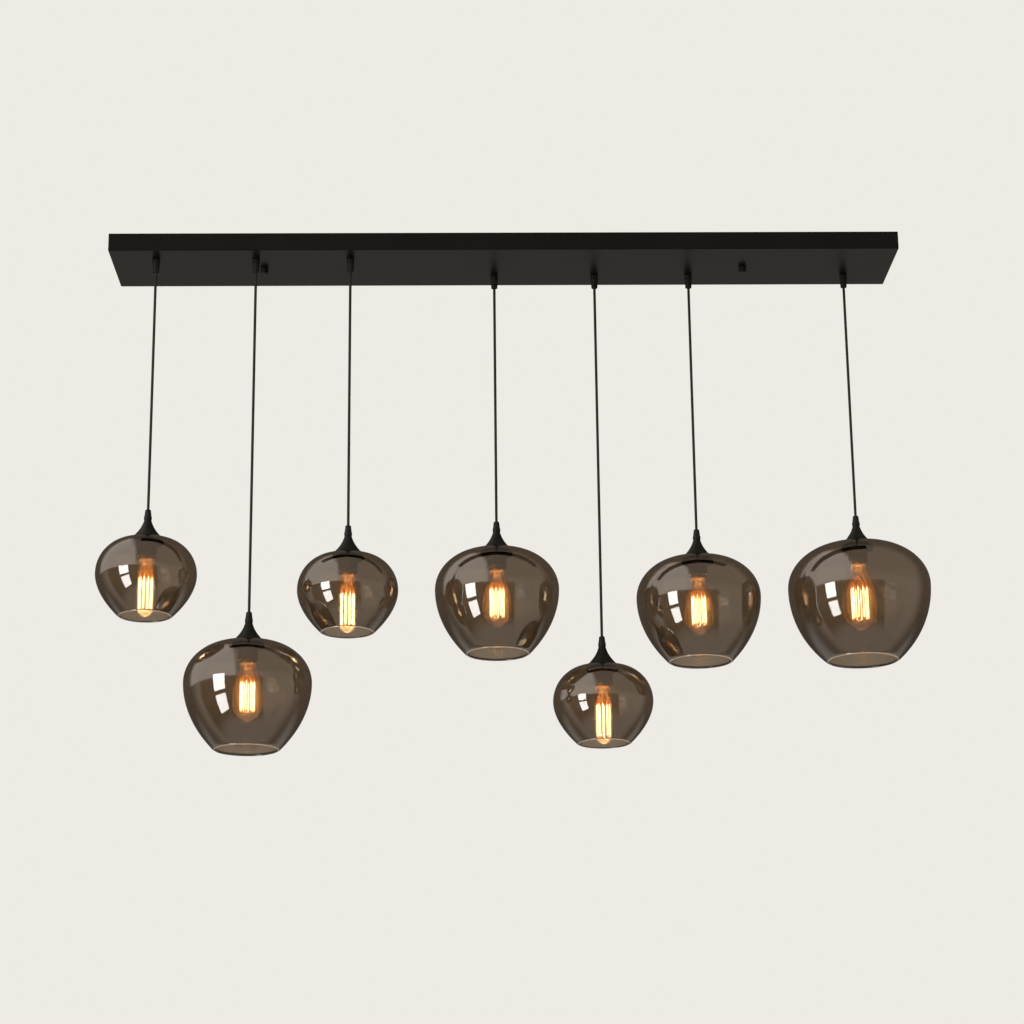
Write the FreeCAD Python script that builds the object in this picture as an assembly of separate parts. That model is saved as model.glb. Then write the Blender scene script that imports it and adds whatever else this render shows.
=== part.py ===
import FreeCAD, Part
import math
import os
from collections import namedtuple
from FreeCAD import Vector

# Linear globe pendant light: a flat black ceiling canopy with seven smoked glass globes on cords.
# Millimetres. The ceiling is the plane z = 0, X runs along the canopy, Y from front to back,
# and the origin is the middle of the ceiling bracket's upper face.

# Canopy: a folded sheet tray, open to the ceiling
canopy_length = 1300.0
canopy_depth = 160.0
canopy_height = 30.0
sheet = 1.2
bend_radius = 1.5

# Ceiling bracket: a steel strip with slots for the ceiling screws and a stud at each end
bracket_width = 32.0
bracket_thickness = 2.0
bracket_end = 30.0
slot_spacing = 500.0
slot_length = 20.0
slot_width = 5.5
stud_spacing = 800.0
stud_diameter = 4.0
stud_flange_diameter = 8.0
stud_flange_height = 1.0
stud_engagement = 7.0
nut_diameter = 12.5
nut_height = 10.5

# Cords and the clearances round them
cord_diameter = 4.4
turning_clearance = 0.3
thread_clearance = 0.05
hole_clearance = 0.1
seat_gap = 0.1
swing_limit = 30.0
tilt_limit = 5.0

# Cord grips: a collar with a tapered nose, one kind at the canopy and a shorter one on each cap
grip_diameter = 12.6
grip_chamfer = 0.6
grip_lip = 0.6
pivot_depth = 2.0
canopy_grip_length = 22.0
canopy_grip_collar = 10.0
cap_grip_length = 16.5
cap_grip_collar = 5.0
shank_diameter = 10.0
locknut_flats = 14.0
locknut_height = 3.0
shank_proud = 1.0

# Cap: a spun trumpet on the crown of each globe
cap_diameter = 51.0
cap_height = 32.5
cap_neck_diameter = 11.4
cap_flare_radius = 10.0
cap_flare_height = 15.0
cap_foot = 1.0
cap_wall = 1.0
cap_top = 1.5

# Lampholder with its hollow nipple and the ring that clamps the glass up against the cap
nipple_diameter = 8.0
nipple_engagement = 6.0
holder_diameter = 32.0
holder_lip_diameter = 33.2
holder_lip = 2.0
holder_top = 3.0
holder_edge = 1.0
holder_drop = 29.0
contact_diameter = 8.0
contact_height = 1.2
ring_diameter = 53.0
ring_height = 3.5
ring_edge = 1.2

# Lamp cap of every bulb, for the standard 27 mm screw
bulb_base_diameter = 26.0
bulb_base_wall = 0.5
bulb_base_edge = 1.2
bulb_base_clearance = 0.4
bulb_base_end = 34.5
contact_gap = 0.3
contact_button_diameter = 9.0
insulator_height = 5.0
bulb_wall = 0.8
bulb_press = 27.0
neck_length = 2.0

# Glass mount inside every bulb: a trumpet from the neck to the press, then a rod down the middle of the cage
press_diameter = 12.0
press_length = 18.0
stem_diameter = 5.0
stem_length = 16.0

# Filament: one wire that runs up and down round the stem as a cage
filament_diameter = 0.9
filament_legs = 10
filament_lead_inset = 1.5

# Smoked glass: common wall, neck hole and flat seat; then the three globe sizes
glass_wall = 2.5
neck_hole_diameter = 40.0
seat_diameter = 48.0
flank_weight = 0.93
Globe = namedtuple("Globe", "diameter belly_drop height mouth fullness")
small_globe = Globe(diameter=161.0, belly_drop=58.0, height=127.0, mouth=84.0, fullness=0.47)
medium_globe = Globe(diameter=202.0, belly_drop=66.0, height=173.0, mouth=102.0, fullness=0.54)
large_globe = Globe(diameter=231.0, belly_drop=72.0, height=195.0, mouth=115.0, fullness=0.60)

# Bulbs: the tip hangs below the crown of the globe by the reach, with an even straight length above its dome.
# The cage of the filament starts below the crown too.
Bulb = namedtuple("Bulb", "diameter reach straight cage cage_start cage_length")
tube_bulb = Bulb(diameter=30.0, reach=127.0, straight=71.0, cage=21.0, cage_start=54.0, cage_length=62.0)
pear_bulb = Bulb(diameter=52.0, reach=127.0, straight=3.0, cage=22.0, cage_start=56.0, cage_length=56.0)
long_bulb = Bulb(diameter=60.0, reach=143.0, straight=3.0, cage=26.0, cage_start=64.0, cage_length=62.0)

# Pendants from left to right: place along the canopy, row, depth of the crown below the ceiling
row_offset = 38.0
Pendant = namedtuple("Pendant", "x y drop globe bulb")
pendant_1 = Pendant(x=-576.0, y=-row_offset, drop=510.0, globe=small_globe, bulb=tube_bulb)
pendant_2 = Pendant(x=-411.0, y=-row_offset, drop=680.0, globe=medium_globe, bulb=pear_bulb)
pendant_3 = Pendant(x=-255.0, y=-row_offset, drop=538.0, globe=small_globe, bulb=tube_bulb)
pendant_4 = Pendant(x=-16.0, y=row_offset, drop=511.0, globe=medium_globe, bulb=pear_bulb)
pendant_5 = Pendant(x=153.0, y=row_offset, drop=705.0, globe=small_globe, bulb=tube_bulb)
pendant_6 = Pendant(x=312.0, y=row_offset, drop=526.0, globe=medium_globe, bulb=pear_bulb)
pendant_7 = Pendant(x=575.0, y=row_offset, drop=504.0, globe=large_globe, bulb=long_bulb)
pendants = (pendant_1, pendant_2, pendant_3, pendant_4, pendant_5, pendant_6, pendant_7)

# Wiring inside the canopy: cord tails in lanes, combs that hold them, terminal block, earth post
lane_pitch = 8.0
lane_height = 16.8
tail_bend = 10.0
tail_turn = 25.0
tail_ease = 60.0
tail_straight = 40.0
tail_shift = 60.0
block_x = 70.0
block_length = 50.0
block_height = 24.0
block_margin = 6.0
entry_depth = 12.0
terminal_diameter = 4.8
terminal_height = 3.0
terminal_recess = 1.0
terminal_slot = 0.8
comb_length = 10.0
comb_head = 2.0
comb_margin = 4.0
earth_x = 70.0
earth_y = 10.0
earth_diameter = 4.0
earth_height = 12.0
earth_washer_diameter = 9.0
earth_washer_height = 0.8
earth_nut_flats = 7.0
earth_nut_height = 3.2

# Values that follow from those above
cord_radius = cord_diameter / 2
underside = -canopy_height
floor = underside + sheet
upper_pivot = underside - canopy_grip_length + pivot_depth
lower_pivot = cap_height + cap_grip_length - pivot_depth
lane_z = floor + lane_height
front_lane = -row_offset
press_under = -bulb_press - bulb_wall
press_end = press_under - press_length


def at(radius, z):
    return Vector(radius, 0, z)


def line(start, end):
    return Part.makeLine(start, end)


def chain(*points):
    return [line(a, b) for a, b in zip(points, points[1:])]


def conic(start, corner, end, weight):
    """A conic arc that leaves start towards corner and arrives at end from corner."""
    curve = Part.BezierCurve()
    curve.setPoles([start, corner, end])
    curve.setWeight(2, weight)
    return curve.toShape()


def quarter(start, corner, end):
    """A quarter of an ellipse inside the corner."""
    return conic(start, corner, end, math.sqrt(0.5))


def round_end(start, corner, end):
    """A quarter of a circle inside the corner, whose turned shape is part of a ball."""
    centre = start + end - corner
    middle = centre + (corner - centre).normalize() * start.distanceToPoint(centre)
    return Part.Arc(start, middle, end).toShape()


def lathe(edges):
    """The solid that a closed outline of radius and height sweeps round the vertical axis."""
    face = Part.Face(Part.Wire(edges))
    return face.revolve(Vector(0, 0, 0), Vector(0, 0, 1), 360)


def turned(*points):
    return lathe(chain(*points, points[0]))


def cylinder(diameter, bottom, top, x=0.0, y=0.0):
    return Part.makeCylinder(diameter / 2, top - bottom, Vector(x, y, bottom))


def hexagon(flats, bottom, top):
    radius = flats / math.sqrt(3)
    angles = [math.radians(60 * i) for i in range(7)]
    corners = [Vector(radius * math.cos(a), radius * math.sin(a), bottom) for a in angles]
    return Part.Face(Part.makePolygon(corners)).extrude(Vector(0, 0, top - bottom))


def moved(shape, x, y, z=0.0):
    copy = shape.copy()
    copy.translate(Vector(x, y, z))
    return copy


def rounded_path(points, radii):
    """Straight runs joined by arcs that touch both runs: one radius for each inner point."""
    edges = []
    last = points[0]
    for before, corner, after, radius in zip(points, points[1:], points[2:], radii):
        back = (before - corner).normalize()
        ahead = (after - corner).normalize()
        half_turn = (math.pi - back.getAngle(ahead)) / 2
        reach = radius * math.tan(half_turn)
        start = corner + back * reach
        end = corner + ahead * reach
        inward = (back + ahead).normalize()
        middle = corner + inward * (radius / math.cos(half_turn) - radius)
        edges += [line(last, start), Part.Arc(start, middle, end).toShape()]
        last = end
    edges.append(line(last, points[-1]))
    return Part.Wire(edges)


def tube(path, diameter, mitred=False):
    """A round wire or cord along a path, with mitred corners where the path has sharp ones."""
    start = path.Edges[0]
    direction = start.tangentAt(start.FirstParameter)
    section = Part.Wire(Part.makeCircle(diameter / 2, path.OrderedVertexes[0].Point, direction))
    corners = 1 if mitred else 0
    return path.makePipeShell([section], True, False, corners)


def flared_mouth(limit):
    """Radii at the pivot and at the face of a grip, which let the cord lean to its limit."""
    lean = math.radians(limit)
    throat = cord_radius / math.cos(lean) + turning_clearance
    return throat, throat + pivot_depth * math.tan(lean)


def canopy_tray():
    outside = Part.makeBox(canopy_length, canopy_depth, canopy_height,
                           Vector(-canopy_length / 2, -canopy_depth / 2, underside))
    folded = [edge for edge in outside.Edges if edge.BoundBox.ZMin < -canopy_height / 2]
    outside = outside.makeFillet(bend_radius, folded)
    inside = Part.makeBox(canopy_length - 2 * sheet, canopy_depth - 2 * sheet, canopy_height,
                          Vector(-canopy_length / 2 + sheet, -canopy_depth / 2 + sheet, floor))
    holes = [cylinder(shank_diameter + 2 * hole_clearance, underside - sheet, floor + sheet, p.x, p.y)
             for p in pendants]
    holes += [cylinder(stud_diameter + 2 * hole_clearance, underside - sheet, floor + sheet, x)
              for x in (-stud_spacing / 2, stud_spacing / 2)]
    return outside.cut([inside] + holes)


def ceiling_bracket():
    length = stud_spacing + 2 * bracket_end
    strip = Part.makeBox(length, bracket_width, bracket_thickness,
                         Vector(-length / 2, -bracket_width / 2, -bracket_thickness))
    corners = [edge for edge in strip.Edges if edge.Length == bracket_thickness]
    strip = strip.makeFillet(bracket_width / 4, corners)
    slots = []
    for x in (-slot_spacing / 2, slot_spacing / 2):
        straight = slot_length - slot_width
        middle = Part.makeBox(straight, slot_width, 3 * bracket_thickness,
                              Vector(x - straight / 2, -slot_width / 2, -2 * bracket_thickness))
        ends = [cylinder(slot_width, -2 * bracket_thickness, bracket_thickness, end)
                for end in (x - straight / 2, x + straight / 2)]
        slots.append(middle.fuse(ends))
    return strip.cut(slots)


def fixing_stud():
    radius = stud_diameter / 2
    flange = stud_flange_diameter / 2
    top = -bracket_thickness
    under_flange = top - stud_flange_height
    end = underside - stud_engagement
    chamfer = radius / 4
    return turned(at(0, top), at(flange, top), at(flange, under_flange), at(radius, under_flange),
                  at(radius, end + chamfer), at(radius - chamfer, end), at(0, end))


def fixing_nut():
    """A closed thumb nut with a domed end, screwed on a stud against the tray."""
    radius = nut_diameter / 2
    bore = stud_diameter / 2 + thread_clearance
    bottom = underside - nut_height
    bore_end = underside - stud_engagement - seat_gap
    dome = nut_height / 5
    outline = chain(at(bore, bore_end), at(bore, underside), at(radius - grip_chamfer, underside),
                    at(radius, underside - grip_chamfer), at(radius, bottom + dome))
    outline += [quarter(at(radius, bottom + dome), at(radius, bottom), at(0, bottom))]
    outline += chain(at(0, bottom), at(0, bore_end), at(bore, bore_end))
    return lathe(outline)


def grip_body(length, collar, limit):
    """A cord grip standing on z = 0: collar, tapered nose, bore and a mouth that flares for the cord."""
    radius = grip_diameter / 2
    throat, mouth = flared_mouth(limit)
    nose = mouth + grip_lip
    bore = cord_radius + turning_clearance
    return turned(at(bore, 0), at(radius - grip_chamfer, 0), at(radius, grip_chamfer), at(radius, collar),
                  at(radius - grip_chamfer, collar + grip_chamfer), at(nose + grip_lip, length - grip_lip),
                  at(nose, length), at(mouth, length), at(throat, length - pivot_depth),
                  at(bore, length - 2 * pivot_depth))


def canopy_grip():
    """Hangs from the tray, nose down, with a threaded shank that passes through the sheet."""
    bore = cord_radius + turning_clearance
    body = grip_body(canopy_grip_length, canopy_grip_collar, swing_limit)
    shank_end = -(sheet + locknut_height + shank_proud)
    shank = cylinder(shank_diameter, shank_end, 0).cut(cylinder(2 * bore, 2 * shank_end, -shank_end))
    grip = body.fuse(shank).removeSplitter()
    grip.rotate(Vector(0, 0, 0), Vector(1, 0, 0), 180)
    return moved(grip, 0, 0, underside)


def grip_locknut():
    hole = cylinder(shank_diameter + 2 * thread_clearance, floor - sheet, floor + 2 * locknut_height)
    return hexagon(locknut_flats, floor, floor + locknut_height).cut(hole)


def free_cord(pendant):
    """The hanging stretch: a round cord whose ball ends turn in the two grips."""
    top = upper_pivot
    bottom = lower_pivot - pendant.drop
    crest = top + cord_radius
    foot = bottom - cord_radius
    outline = [round_end(at(0, crest), at(cord_radius, crest), at(cord_radius, top))]
    outline += chain(at(cord_radius, top), at(cord_radius, bottom))
    outline += [round_end(at(cord_radius, bottom), at(cord_radius, foot), at(0, foot))]
    outline += chain(at(0, foot), at(0, crest))
    return lathe(outline)


def cap_grip():
    """Stands on the cap, nose up, screwed on the end of the nipple."""
    body = grip_body(cap_grip_length, cap_grip_collar, tilt_limit)
    socket = cylinder(nipple_diameter + 2 * thread_clearance, -nipple_engagement, nipple_engagement)
    return moved(body.cut(socket), 0, 0, cap_height)


def cap():
    """The trumpet: a thin spun shell that flares from the neck to a foot on the glass."""
    foot = cap_diameter / 2
    neck = cap_neck_diameter / 2
    hole = nipple_diameter / 2 + hole_clearance
    inner_top = cap_height - cap_top
    outline = chain(at(foot - cap_wall, 0), at(foot, 0), at(foot, cap_foot))
    outline += [conic(at(foot, cap_foot), at(cap_flare_radius, cap_flare_height), at(neck, cap_height), 1)]
    inner_neck = at(neck - cap_wall, inner_top)
    inner_flare = at(cap_flare_radius - cap_wall, cap_flare_height - cap_wall / 2)
    outline += chain(at(neck, cap_height), at(hole, cap_height), at(hole, inner_top), inner_neck)
    outline += [conic(inner_neck, inner_flare, at(foot - cap_wall, 0), 1)]
    return lathe(outline)


def shade(globe):
    """Blown glass: flat seat, rounded shoulder, belly, flank that draws in, and an open cut mouth."""
    radius = globe.diameter / 2
    mouth = globe.mouth / 2
    seat = seat_diameter / 2
    hole = neck_hole_diameter / 2
    top = -seat_gap
    under = top - glass_wall
    belly = -globe.belly_drop
    bottom = -globe.height
    knee = belly + globe.fullness * (bottom - belly)
    lean = math.atan2(radius - mouth, knee - bottom)
    inner = radius - glass_wall
    inner_mouth = mouth - glass_wall / math.cos(lean)
    inner_knee = bottom + (inner - inner_mouth) / math.tan(lean)
    outline = chain(at(hole, under), at(hole, top), at(seat, top))
    outline += [quarter(at(seat, top), at(radius, top), at(radius, belly))]
    outline += [conic(at(radius, belly), at(radius, knee), at(mouth, bottom), flank_weight)]
    outline += chain(at(mouth, bottom), at(inner_mouth, bottom))
    outline += [conic(at(inner_mouth, bottom), at(inner, inner_knee), at(inner, belly), flank_weight)]
    outline += [quarter(at(inner, belly), at(inner, under), at(seat, under))]
    outline += chain(at(seat, under), at(hole, under))
    return lathe(outline)


def lampholder():
    """Holder body, hollow nipple up through the cap, shade ring below the glass, and the lead inside."""
    radius = holder_diameter / 2
    lip = holder_lip_diameter / 2
    bore = bulb_base_diameter / 2 + bulb_base_clearance
    thread = nipple_diameter / 2 + thread_clearance
    lip_top = holder_lip - holder_drop
    body = turned(at(thread, 0), at(thread, holder_top), at(radius - holder_edge, holder_top),
                  at(radius, holder_top - holder_edge), at(radius, lip_top), at(lip, lip_top),
                  at(lip, -holder_drop), at(bore, -holder_drop), at(bore, 0))
    tongue = cylinder(contact_diameter, -contact_height, 0)
    lead_bore = cord_radius + hole_clearance
    nipple_top = cap_height + nipple_engagement
    nipple = turned(at(lead_bore, 0), at(nipple_diameter / 2, 0), at(nipple_diameter / 2, nipple_top),
                    at(lead_bore, nipple_top))
    lead = cylinder(cord_diameter, 0, lower_pivot - cord_radius - seat_gap)
    return Part.makeCompound([body, tongue, nipple, shade_ring(), lead])


def shade_ring():
    """The threaded ring on the holder, close below the glass."""
    hole = holder_diameter / 2 + thread_clearance
    radius = ring_diameter / 2
    top = -(2 * seat_gap + glass_wall)
    bottom = top - ring_height
    return turned(at(hole, top), at(radius, top), at(radius, bottom + ring_edge),
                  at(radius - ring_edge, bottom), at(hole, bottom))


def bulb_outline(bulb, inset):
    """Edges of the envelope from the neck down to the tip, set in from the outer face."""
    neck = bulb_base_diameter / 2 - bulb_base_wall - hole_clearance - inset
    radius = bulb.diameter / 2 - inset
    tip = -bulb.reach + inset
    dome = tip + radius
    belly = dome + bulb.straight
    flare = -bulb_base_end - neck_length
    edges = chain(at(neck, -bulb_press - inset), at(neck, flare))
    edges += [conic(at(neck, flare), at(radius, (flare + belly) / 2), at(radius, belly), 1)]
    edges += chain(at(radius, belly), at(radius, dome))
    edges += [round_end(at(radius, dome), at(radius, tip), at(0, tip))]
    return edges


def bulb_glass(bulb):
    """The envelope with the glass trumpet, press and rod that carry the filament."""
    press = press_diameter / 2
    stem = stem_diameter / 2
    stem_end = press_end - stem_length
    inner_neck = bulb_base_diameter / 2 - bulb_base_wall - hole_clearance - bulb_wall
    neck = inner_neck + bulb_wall
    edges = chain(at(0, -bulb_press), at(neck, -bulb_press)) + bulb_outline(bulb, 0)
    edges += chain(at(0, -bulb.reach), at(0, -bulb.reach + bulb_wall)) + bulb_outline(bulb, bulb_wall)
    edges += [conic(at(inner_neck, press_under), at(press, press_under), at(press, press_end), 1)]
    edges += chain(at(press, press_end), at(stem, press_end), at(stem, stem_end + stem))
    edges += [round_end(at(stem, stem_end + stem), at(stem, stem_end), at(0, stem_end))]
    edges += chain(at(0, stem_end), at(0, -bulb_press))
    return lathe(Part.__sortEdges__(edges))


def bulb_base():
    """The screw cap as a thin cup: contact button, insulating cone and plain shell."""
    radius = bulb_base_diameter / 2
    top = -contact_height - contact_gap
    button = contact_button_diameter / 2
    shoulder = top - insulator_height
    shell_top = shoulder - bulb_base_edge
    inside = radius - bulb_base_wall
    return turned(at(0, top), at(button, top), at(button, top - bulb_base_edge),
                  at(radius - bulb_base_edge, shoulder), at(radius, shell_top), at(radius, -bulb_base_end),
                  at(inside, -bulb_base_end), at(inside, shell_top), at(0, shoulder))


def filament(bulb):
    """The squirrel cage: the wire comes down from the press, zigzags round the rod and goes back.
    It is turned by a quarter of a step, so that no leg at the back hides behind one at the front."""
    radius = bulb.cage / 2
    top = -bulb.cage_start
    bottom = top - bulb.cage_length
    lead = press_diameter / 2 - filament_lead_inset
    start = press_end - seat_gap - filament_diameter / 2

    def corner(leg, r, z):
        angle = 2 * math.pi * (leg + 0.25) / filament_legs
        return Vector(r * math.cos(angle), r * math.sin(angle), z)

    points = [corner(0, lead, start)]
    for leg in range(filament_legs):
        ends = (top, bottom) if leg % 2 == 0 else (bottom, top)
        points += [corner(leg, radius, z) for z in ends]
    points.append(corner(filament_legs - 1, lead, start))
    return tube(Part.Wire(chain(*points)), filament_diameter, mitred=True)


def tail_routes():
    """Points and bend radii of each cord tail, from its grip to its own entry in the block."""
    left_face = block_x - block_length / 2 + entry_depth
    right_face = block_x + block_length / 2 - entry_depth
    front = [p for p in pendants if p.y < 0]
    back = [p for p in pendants if p.y > 0]
    start = upper_pivot + cord_radius + seat_gap
    routes = []
    for place, p in enumerate(reversed(front)):
        lane = front_lane - place * lane_pitch
        points = [Vector(p.x, p.y, start), Vector(p.x, p.y, lane_z)]
        radii = [tail_bend]
        if place:
            turn_x = p.x + tail_straight
            points += [Vector(turn_x, p.y, lane_z), Vector(turn_x + tail_shift, lane, lane_z)]
            radii += [tail_ease, tail_ease]
        points.append(Vector(left_face, lane, lane_z))
        routes.append((points, radii))
    right_lanes = [front_lane + lane_pitch * (1 - place) for place in range(len(back) - 1)]
    for p, lane in zip(back, right_lanes[:1] + right_lanes):
        entry = left_face if p.x < block_x else right_face
        points = [Vector(p.x, p.y, start), Vector(p.x, p.y, lane_z), Vector(p.x, lane, lane_z),
                  Vector(entry, lane, lane_z)]
        routes.append((points, [tail_bend, tail_turn]))
    return routes


def cord_tails():
    tails = []
    for points, radii in tail_routes():
        path = rounded_path(points, radii)
        tail = tube(path, cord_diameter)
        expected = math.pi * cord_radius ** 2 * path.Length
        print("tail: radii", radii, "volume over section times length", round(tail.Volume / expected, 4))
        tails.append(tail)
    return Part.makeCompound(tails)


def block_lanes():
    """Lanes on the left and right end of the terminal block: the last one on the right is the supply's."""
    left = [front_lane + lane_pitch * (1 - i) for i in range(4)]
    return left, list(left)


def terminal_block():
    left, right = block_lanes()
    width = left[0] - left[-1] + 2 * block_margin
    x0 = block_x - block_length / 2
    x1 = block_x + block_length / 2
    block = Part.makeBox(block_length, width, block_height, Vector(x0, left[-1] - block_margin, floor))
    top = [edge for edge in block.Edges if edge.BoundBox.ZMin > floor + block_height / 2]
    block = block.makeFillet(terminal_recess, top)
    entry = cord_radius + hole_clearance
    depth = entry_depth + seat_gap
    top_face = floor + block_height
    pocket = terminal_diameter + 2 * hole_clearance
    pocket_floor = top_face - terminal_height - terminal_recess
    cuts = [Part.makeCylinder(entry, depth, Vector(x0, y, lane_z), Vector(1, 0, 0)) for y in left]
    cuts += [Part.makeCylinder(entry, depth, Vector(x1, y, lane_z), Vector(-1, 0, 0)) for y in right]
    cuts += [cylinder(pocket, pocket_floor, top_face + terminal_recess, x, y) for x, y in terminal_places()]
    return block.cut(cuts)


def terminal_places():
    left, right = block_lanes()
    inset = entry_depth / 2
    places = [(block_x - block_length / 2 + inset, y) for y in left]
    places += [(block_x + block_length / 2 - inset, y) for y in right]
    return places


def terminal_screw(x, y):
    top = floor + block_height - terminal_recess
    head = cylinder(terminal_diameter, top - terminal_height, top, x, y)
    slot = Part.makeBox(2 * terminal_diameter, terminal_slot, terminal_height,
                        Vector(x - terminal_diameter, y - terminal_slot / 2, top - terminal_height / 3))
    return head.cut(slot)


def cable_comb(x, lanes):
    """A moulded comb on the tray floor, with a round-bottomed notch for each cord in its lanes."""
    low = min(lanes) - comb_margin
    width = max(lanes) + comb_margin - low
    top = lane_z + cord_radius + comb_head
    comb = Part.makeBox(comb_length, width, top - floor, Vector(x - comb_length / 2, low, floor))
    notch = cord_radius + hole_clearance
    for lane in lanes:
        start = Vector(x - comb_length, lane, lane_z)
        round_bottom = Part.makeCylinder(notch, 2 * comb_length, start, Vector(1, 0, 0))
        opening = Part.makeBox(2 * comb_length, 2 * notch, block_height, start - Vector(0, notch, 0))
        comb = comb.cut([round_bottom, opening])
    return comb


def cable_combs():
    """One comb halfway along each long stretch between neighbouring tails, for the lanes that pass there."""
    front = [p for p in pendants if p.y < 0]
    back = [p for p in pendants if p.y > 0 and p.x > block_x]
    combs = []
    for place, p in enumerate(front):
        following = front[place + 1].x if place + 1 < len(front) else pendants[len(front)].x
        lanes = [front_lane - lane_pitch * (len(front) - 1 - i) for i in range(place + 1)]
        combs.append(cable_comb((p.x + tail_straight + tail_shift + following) / 2, lanes))
    for place in range(1, len(back)):
        lanes = [front_lane + lane_pitch * (1 - i) for i in range(place, len(back))]
        combs.append(cable_comb((back[place - 1].x + back[place].x) / 2, lanes))
    return Part.makeCompound(combs)


def earth_post():
    """A welded stud with a plain washer and a nut for the earth lead."""
    stud = cylinder(earth_diameter, floor, floor + earth_height)
    hole = cylinder(earth_diameter + 2 * thread_clearance, floor - sheet, floor + earth_height)
    washer_top = floor + earth_washer_height
    washer = cylinder(earth_washer_diameter, floor, washer_top).cut(hole)
    nut = hexagon(earth_nut_flats, washer_top, washer_top + earth_nut_height).cut(hole)
    return moved(Part.makeCompound([stud, washer, nut]), earth_x, earth_y)


def at_each_grip(shape):
    return Part.makeCompound([moved(shape, p.x, p.y) for p in pendants])


def at_each_stud(shape):
    return Part.makeCompound([moved(shape, x, 0) for x in (-stud_spacing / 2, stud_spacing / 2)])


def canopy_nodes():
    return {
        "canopy_tray": canopy_tray(),
        "ceiling_bracket": ceiling_bracket(),
        "fixing_studs": at_each_stud(fixing_stud()),
        "fixing_nuts": at_each_stud(fixing_nut()),
        "canopy_grips": at_each_grip(canopy_grip()),
        "grip_locknuts": at_each_grip(grip_locknut()),
        "cord_tails": cord_tails(),
        "cable_combs": cable_combs(),
        "terminal_block": terminal_block(),
        "terminal_screws": Part.makeCompound([terminal_screw(x, y) for x, y in terminal_places()]),
        "earth_post": earth_post(),
    }


def pendant_nodes(number, p):
    """The pieces of one pendant, made about the crown of its globe and hung in place."""
    head = {
        "cap_grip": cap_grip(),
        "cap": cap(),
        "shade": shade(p.globe),
        "lampholder": lampholder(),
        "bulb_glass": bulb_glass(p.bulb),
        "bulb_base": Part.makeCompound([bulb_base(), filament(p.bulb)]),
    }
    nodes = {f"{name}_{number}": moved(shape, p.x, p.y, -p.drop) for name, shape in head.items()}
    nodes[f"cord_{number}"] = moved(free_cord(p), p.x, p.y)
    return nodes


os.makedirs("parts", exist_ok=True)
nodes = canopy_nodes()
for number, pendant in enumerate(pendants, start=1):
    nodes.update(pendant_nodes(number, pendant))
for name, shape in nodes.items():
    if not shape.isValid():
        print("not valid:", name)
    shape.exportStep(f"parts/{name}.step")
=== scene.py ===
import math
import bmesh
import bpy
from mathutils import Euler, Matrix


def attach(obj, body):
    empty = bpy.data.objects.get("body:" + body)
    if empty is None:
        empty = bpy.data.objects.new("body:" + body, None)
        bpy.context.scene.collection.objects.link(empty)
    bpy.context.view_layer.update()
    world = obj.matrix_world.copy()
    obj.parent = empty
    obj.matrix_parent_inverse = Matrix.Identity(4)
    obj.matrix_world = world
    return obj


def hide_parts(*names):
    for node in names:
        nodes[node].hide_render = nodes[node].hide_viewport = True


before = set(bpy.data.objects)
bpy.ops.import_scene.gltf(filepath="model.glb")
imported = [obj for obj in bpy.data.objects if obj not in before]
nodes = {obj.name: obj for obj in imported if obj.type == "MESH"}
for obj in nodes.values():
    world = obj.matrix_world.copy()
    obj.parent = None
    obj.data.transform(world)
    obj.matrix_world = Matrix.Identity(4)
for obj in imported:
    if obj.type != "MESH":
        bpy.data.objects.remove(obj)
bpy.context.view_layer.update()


# Ceiling bracket, its two studs and the locknuts inside the tray.
# Punched steel strip and turned steel, zinc plated: pale, with faint crystals in the plating.
# The strip is screwed to the ceiling and carries everything else.
def new_finish(name):
    """A new material with its node tree and its shader."""
    material = bpy.data.materials.new(name)
    material.use_nodes = True
    return material, material.node_tree, material.node_tree.nodes["Principled BSDF"]


def add_node(tree, kind, values=None, **settings):
    """A shader node with the values of its inputs and its settings."""
    node = tree.nodes.new("ShaderNode" + kind)
    for key, value in settings.items():
        setattr(node, key, value)
    for key, value in (values or {}).items():
        node.inputs[key].default_value = value
    return node


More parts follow.
